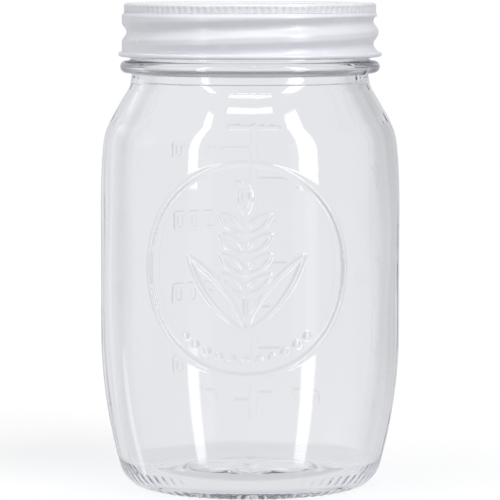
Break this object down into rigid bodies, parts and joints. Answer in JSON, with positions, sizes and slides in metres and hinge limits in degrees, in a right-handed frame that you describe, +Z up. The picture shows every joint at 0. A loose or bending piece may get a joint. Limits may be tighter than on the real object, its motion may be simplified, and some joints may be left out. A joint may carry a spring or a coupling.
{
  "type": "sourdough starter jar",
  "caption": "Round glass jar with a white metal screw lid and sealing ring, a raised wheat emblem on the front and a raised measuring scale on the back.",
  "frame": {"origin": "middle of the ring that the jar stands on", "axes": "+Z up along the axis of the jar, the emblem on -Y, the measuring scale on +Y"},
  "size_m": [0.0836, 0.0844, 0.1352],
  "materials": {
    "clear_glass": "clear, fire polished, colourless with a faint cool tint",
    "white_enamel": "satin white enamel on tinplate",
    "sealing_compound": "matt, pale grey"
  },
  "bodies": {
    "jar": {"glass_jar": "clear_glass"},
    "liner": {"lid_liner": "sealing_compound"},
    "lid": {"lid_shell": "white_enamel"}
  },
  "joints": [
    {"name": "lid_rise", "type": "slide", "parent": "jar", "child": "liner", "axis": [0, 0, 1], "range_m": [0, 0.0159]},
    {"name": "lid_turn", "type": "hinge", "parent": "liner", "child": "lid", "pos_m": [0, 0, 0.1345], "axis": [0, 0, 1], "range_deg": [0, 900]}
  ],
  "couplings": [
    {"joint": "lid_rise", "follows": "lid_turn", "m_per_rad": 0.0010106}
  ]
}
